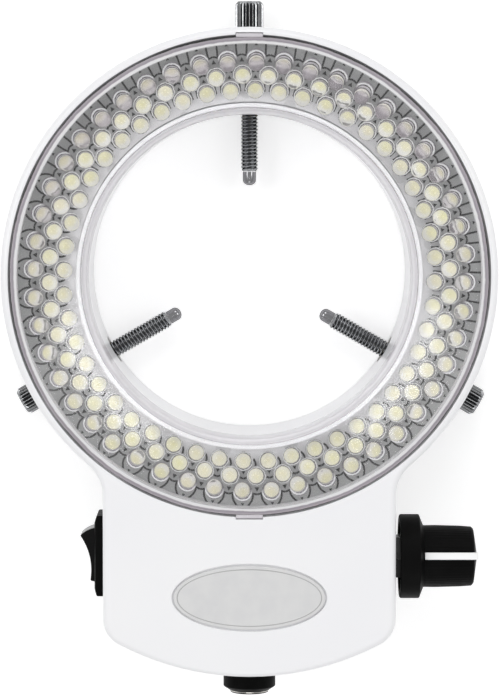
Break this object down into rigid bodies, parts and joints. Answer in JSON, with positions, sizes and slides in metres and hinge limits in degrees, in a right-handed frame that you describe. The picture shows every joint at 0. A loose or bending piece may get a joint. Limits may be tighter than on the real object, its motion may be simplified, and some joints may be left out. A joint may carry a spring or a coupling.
{
  "type": "microscope ring lamp",
  "caption": "White ring lamp that clamps round a microscope's objective with thumb screws; control box with rocker switch, dimmer knob and power inlet.",
  "frame": {"origin": "on the ring's axis, in the plane of the clamp collar's rear rim", "axes": "+Z along the ring's axis, the way the light shines; -Y from the ring towards the control box; the dimmer knob is on the +X side and the switch on the -X side"},
  "size_m": [0.096, 0.1365, 0.0281],
  "materials": {
    "white_shell": "moulded satin",
    "clear_window": "clear and polished",
    "led_board": "grey lacquer with black print",
    "led_epoxy": "clear epoxy with a cream phosphor",
    "screw_chrome": "bright plated",
    "insert_brass": "turned",
    "rear_screw_steel": "zinc plated",
    "badge_grey": "satin silver lacquer",
    "black_plastic": "fine texture",
    "rocker_black": "polished",
    "dimmer_zinc": "die cast",
    "dimmer_nut_black": "blackened",
    "shaft_nickel": "nickel plated",
    "pointer_white": "satin",
    "driver_green": "lacquer",
    "coil_ferrite": "dull",
    "capacitor_sleeve": "printed sleeve",
    "lead_red": "smooth insulation",
    "lead_black": "smooth insulation"
  },
  "bodies": {
    "housing": {"front_housing": "white_shell", "rear_cover": "white_shell", "clear_window": "clear_window", "led_board": "led_board", "led_row_inner": "led_epoxy", "led_row_middle": "led_epoxy", "led_row_outer": "led_epoxy", "clamp_insert_top": "insert_brass", "clamp_insert_left": "insert_brass", "clamp_insert_right": "insert_brass", "switch_terminal_upper": "insert_brass", "switch_terminal_lower": "insert_brass", "rear_screw_1": "rear_screw_steel", "rear_screw_2": "rear_screw_steel", "rear_screw_3": "rear_screw_steel", "rear_screw_4": "rear_screw_steel", "rear_screw_5": "rear_screw_steel", "rear_screw_6": "rear_screw_steel", "badge_plate": "badge_grey", "switch_body": "black_plastic", "inlet_body": "black_plastic", "driver_chip": "black_plastic", "driver_transistor": "black_plastic", "dimmer_body": "dimmer_zinc", "dimmer_nut": "dimmer_nut_black", "inlet_sleeve": "shaft_nickel", "inlet_pin": "shaft_nickel", "inlet_nut": "shaft_nickel", "driver_board": "driver_green", "driver_coil": "coil_ferrite", "driver_capacitor": "capacitor_sleeve", "lead_inlet_switch": "lead_red", "lead_switch_driver": "lead_red", "lead_dimmer_upper": "lead_red", "lead_led_plus": "lead_red", "lead_inlet_driver": "lead_black", "lead_dimmer_lower": "lead_black", "lead_led_minus": "lead_black"},
    "screw_nose_top": {"clamp_screw_nose_top": "screw_chrome"},
    "screw_top": {"clamp_screw_top": "screw_chrome"},
    "screw_nose_left": {"clamp_screw_nose_left": "screw_chrome"},
    "screw_left": {"clamp_screw_left": "screw_chrome"},
    "screw_nose_right": {"clamp_screw_nose_right": "screw_chrome"},
    "screw_right": {"clamp_screw_right": "screw_chrome"},
    "rocker": {"switch_rocker": "rocker_black"},
    "knob": {"dimmer_knob": "black_plastic", "knob_pointer": "pointer_white", "dimmer_shaft": "shaft_nickel"}
  },
  "joints": [
    {"name": "clamp_screw_top_travel", "type": "slide", "parent": "housing", "child": "screw_nose_top", "axis": [0, 1, 0], "range_m": [-0.00789, 0.01401]},
    {"name": "clamp_screw_top_turn", "type": "hinge", "parent": "screw_nose_top", "child": "screw_top", "pos_m": [0, 0, 0.005], "axis": [0, 1, 0], "range_deg": [-4058, 7206]},
    {"name": "clamp_screw_left_travel", "type": "slide", "parent": "housing", "child": "screw_nose_left", "axis": [-0.866, -0.5, 0], "range_m": [-0.00661, 0.01529]},
    {"name": "clamp_screw_left_turn", "type": "hinge", "parent": "screw_nose_left", "child": "screw_left", "pos_m": [0, 0, 0.005], "axis": [-0.866, -0.5, 0], "range_deg": [-3400, 7864]},
    {"name": "clamp_screw_right_travel", "type": "slide", "parent": "housing", "child": "screw_nose_right", "axis": [0.866, -0.5, 0], "range_m": [-0.00711, 0.01479]},
    {"name": "clamp_screw_right_turn", "type": "hinge", "parent": "screw_nose_right", "child": "screw_right", "pos_m": [0, 0, 0.005], "axis": [0.866, -0.5, 0], "range_deg": [-3657, 7607]},
    {"name": "switch_rocker_tip", "type": "hinge", "parent": "housing", "child": "rocker", "pos_m": [-0.0292, -0.05461, 0.01875], "axis": [0, 0, 1], "range_deg": [-25, 0]},
    {"name": "dimmer_knob_turn", "type": "hinge", "parent": "housing", "child": "knob", "pos_m": [0.036, -0.05529, 0.01875], "axis": [1, 0, 0], "range_deg": [-150, 150]}
  ],
  "couplings": [
    {"joint": "clamp_screw_top_turn", "follows": "clamp_screw_top_travel", "rad_per_m": 8976},
    {"joint": "clamp_screw_left_turn", "follows": "clamp_screw_left_travel", "rad_per_m": 8976},
    {"joint": "clamp_screw_right_turn", "follows": "clamp_screw_right_travel", "rad_per_m": 8976}
  ]
}
